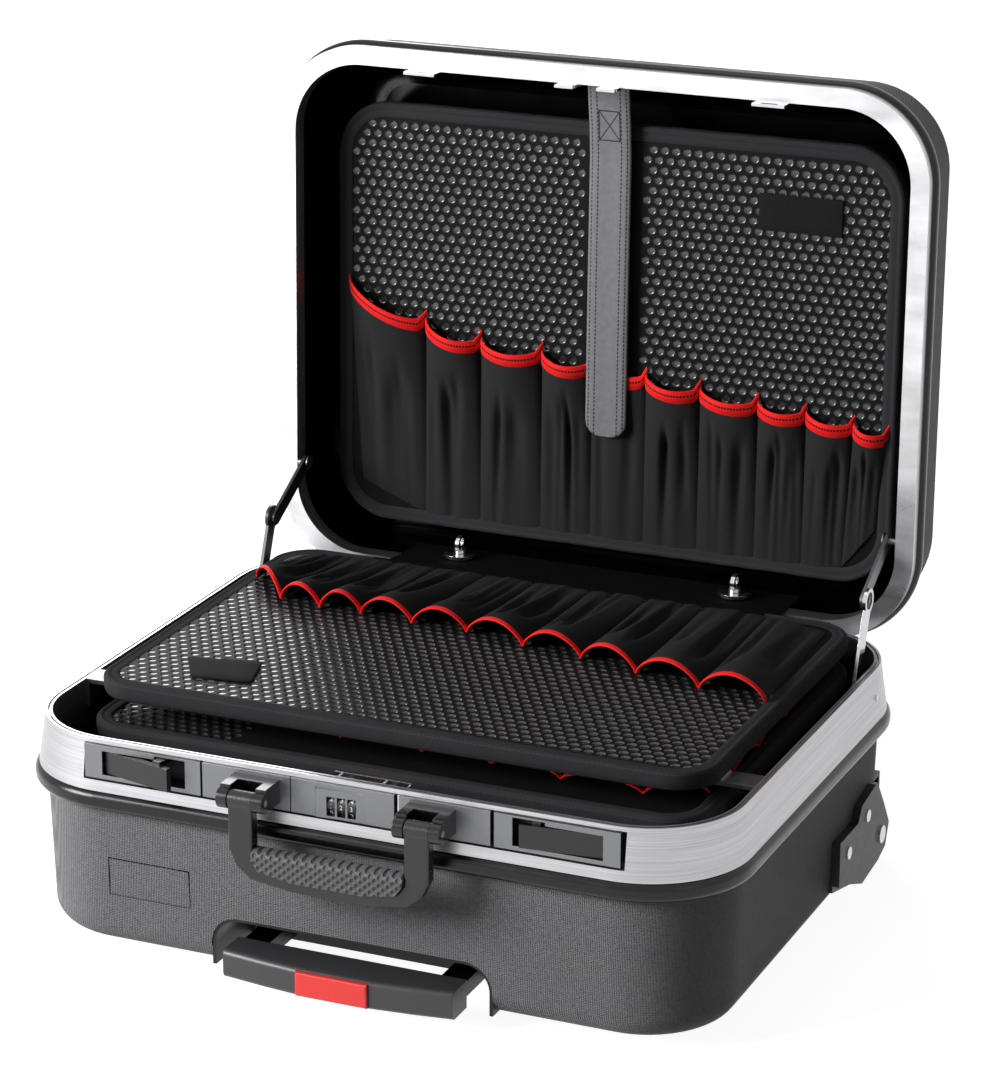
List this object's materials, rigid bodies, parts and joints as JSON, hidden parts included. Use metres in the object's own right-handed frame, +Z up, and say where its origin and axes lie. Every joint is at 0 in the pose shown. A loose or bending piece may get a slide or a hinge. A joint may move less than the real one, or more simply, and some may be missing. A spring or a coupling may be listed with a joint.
{
  "type": "hard tool case",
  "caption": "Hard two-shell tool case, metal rims, hinged lid standing open, latches, dial lock, carry handle, pull-out trolley handle, rear wheels and pocketed tool boards.",
  "frame": {"origin": "on the floor under the middle of the part's bounding box with the lid open as stored", "axes": "+X to the right seen from the front, +Y from the front of the case to its hinge side, +Z up"},
  "size_m": [0.516, 0.544, 0.5521],
  "materials": {
    "rim_metal": "brushed, bright",
    "plate_metal": "fine satin",
    "shell_plastic": "fine pebbled grain",
    "bead_plastic": "gloss",
    "bracket_plastic": "satin gloss",
    "housing_plastic": "satin",
    "lever_plastic": "gloss",
    "bright_steel": "plated",
    "stay_steel": "plated",
    "handle_paint": "satin grey",
    "grip_rubber": "dimpled",
    "trolley_plastic": "satin",
    "button_red": "satin red",
    "tube_metal": "anodised",
    "board_foam": "dimpled board with fabric edge",
    "pocket_fabric": "black woven, red trim",
    "strap_fabric": "black webbing",
    "flap_fabric": "black sheet",
    "floor_board": "plain",
    "wheel_plastic": "plain",
    "tyre_rubber": "plain",
    "number_plastic": "black with white figures"
  },
  "bodies": {
    "case": {"base_frame": "rim_metal", "base_bead": "bead_plastic", "base_shell": "shell_plastic", "trolley_bay": "housing_plastic", "trolley_outer_tubes": "tube_metal", "floor_panel": "floor_board", "dividers": "floor_board", "front_feet": "grip_rubber", "wheel_housings": "housing_plastic", "wheel_axles": "bright_steel", "latch_plate_left": "plate_metal", "latch_plate_right": "plate_metal", "bracket_plates": "plate_metal", "lock_housing": "plate_metal", "lock_axle": "bright_steel", "handle_brackets": "bracket_plastic", "pivot_pins": "bright_steel", "hinge_leaf_base": "stay_steel", "hinge_pin": "stay_steel", "lower_board_panel": "board_foam", "lower_board_pockets": "pocket_fabric", "board_brackets": "stay_steel", "stay_pivots_base": "bright_steel", "rivets": "bright_steel"},
    "lid": {"lid_frame": "rim_metal", "lid_bead": "bead_plastic", "lid_shell": "shell_plastic", "hinge_leaf_lid": "stay_steel", "latch_keepers": "bright_steel", "lock_keepers": "bright_steel", "lid_board_panel": "board_foam", "lid_board_pockets": "pocket_fabric", "lid_board_posts": "floor_board", "lid_strap": "strap_fabric", "stud_bases": "bright_steel", "stay_pivots_lid": "bright_steel", "board_flap": "flap_fabric"},
    "stay_lower": {"stay_links_lower": "stay_steel"},
    "stay_upper": {"stay_links_upper": "stay_steel"},
    "lever_left": {"latch_lever_left": "lever_plastic"},
    "lever_right": {"latch_lever_right": "lever_plastic"},
    "dial_1": {"number_wheel_1": "number_plastic"},
    "dial_2": {"number_wheel_2": "number_plastic"},
    "dial_3": {"number_wheel_3": "number_plastic"},
    "bolt": {"lock_bolt": "stay_steel"},
    "handle": {"handle_frame": "handle_paint", "handle_grip": "grip_rubber"},
    "trolley_middle": {"trolley_mid_tubes": "tube_metal"},
    "trolley_handle": {"trolley_inner_tubes": "tube_metal", "trolley_grip": "trolley_plastic"},
    "button": {"trolley_button": "button_red"},
    "wheel_left": {"wheel_hub_left": "wheel_plastic", "tyre_left": "tyre_rubber"},
    "wheel_right": {"wheel_hub_right": "wheel_plastic", "tyre_right": "tyre_rubber"},
    "middle_board": {"middle_board_panel": "board_foam", "middle_board_pockets": "pocket_fabric"},
    "tab_left": {"stud_tab_left": "bright_steel"},
    "tab_right": {"stud_tab_right": "bright_steel"}
  },
  "joints": [
    {"name": "lid_hinge", "type": "hinge", "parent": "case", "child": "lid", "pos_m": [0, 0.15851, 0.1512], "axis": [-1, 0, 0], "range_deg": [-91.2, 0], "deforming": ["board_flap"]},
    {"name": "stay_lower_swing", "type": "hinge", "parent": "case", "child": "stay_lower", "pos_m": [0, 0.09451, 0.133], "axis": [-1, 0, 0], "range_deg": [-98.9, 0]},
    {"name": "stay_upper_swing", "type": "hinge", "parent": "lid", "child": "stay_upper", "pos_m": [0, 0.17301, 0.228], "axis": [-1, 0, 0], "range_deg": [0, 105]},
    {"name": "left_lever_turn", "type": "hinge", "parent": "case", "child": "lever_left", "pos_m": [-0.174, -0.23679, 0.146], "axis": [0, 0, -1], "range_deg": [-14.3, 45]},
    {"name": "right_lever_turn", "type": "hinge", "parent": "case", "child": "lever_right", "pos_m": [0.1762, -0.23679, 0.146], "axis": [0, 0, 1], "range_deg": [-5, 54]},
    {"name": "dial_1_turn", "type": "hinge", "parent": "case", "child": "dial_1", "pos_m": [-0.0089, -0.23619, 0.143], "axis": [1, 0, 0], "continuous": true},
    {"name": "dial_2_turn", "type": "hinge", "parent": "case", "child": "dial_2", "pos_m": [-0.0016, -0.23619, 0.143], "axis": [1, 0, 0], "continuous": true},
    {"name": "dial_3_turn", "type": "hinge", "parent": "case", "child": "dial_3", "pos_m": [0.0057, -0.23619, 0.143], "axis": [1, 0, 0], "continuous": true},
    {"name": "bolt_slide", "type": "slide", "parent": "case", "child": "bolt", "axis": [1, 0, 0], "range_m": [-0.002, 0]},
    {"name": "handle_swing", "type": "hinge", "parent": "case", "child": "handle", "pos_m": [0, -0.26349, 0.146], "axis": [-1, 0, 0], "range_deg": [0, 90]},
    {"name": "trolley_pull", "type": "slide", "parent": "case", "child": "trolley_handle", "axis": [0, -1, 0], "range_m": [0, 0.46]},
    {"name": "trolley_middle_slide", "type": "slide", "parent": "case", "child": "trolley_middle", "axis": [0, -1, 0], "range_m": [0, 0.23]},
    {"name": "button_press", "type": "slide", "parent": "trolley_handle", "child": "button", "axis": [0, 1, 0], "range_m": [0, 0.004], "stiffness_N_per_m": 400, "springref_m": -0.001},
    {"name": "left_wheel_roll", "type": "hinge", "parent": "case", "child": "wheel_left", "pos_m": [-0.221, 0.12001, 0.026], "axis": [1, 0, 0], "continuous": true},
    {"name": "right_wheel_roll", "type": "hinge", "parent": "case", "child": "wheel_right", "pos_m": [0.221, 0.12001, 0.026], "axis": [1, 0, 0], "continuous": true},
    {"name": "board_lift", "type": "hinge", "parent": "case", "child": "middle_board", "pos_m": [0, 0.13801, 0.1685], "axis": [-1, 0, 0], "range_deg": [0, 70]},
    {"name": "left_stud_turn", "type": "hinge", "parent": "lid", "child": "tab_left", "pos_m": [-0.11, 0.18967, 0.16733], "axis": [0, 0.0216, 0.9998], "range_deg": [0, 90]},
    {"name": "right_stud_turn", "type": "hinge", "parent": "lid", "child": "tab_right", "pos_m": [0.11, 0.18967, 0.16733], "axis": [0, 0.0216, 0.9998], "range_deg": [0, 90]}
  ],
  "couplings": [
    {"joint": "stay_lower_swing", "follows": "lid_hinge", "ratio": 1.0815},
    {"joint": "stay_upper_swing", "follows": "lid_hinge", "ratio": -1.1495},
    {"joint": "trolley_middle_slide", "follows": "trolley_pull", "ratio": 0.5}
  ]
}
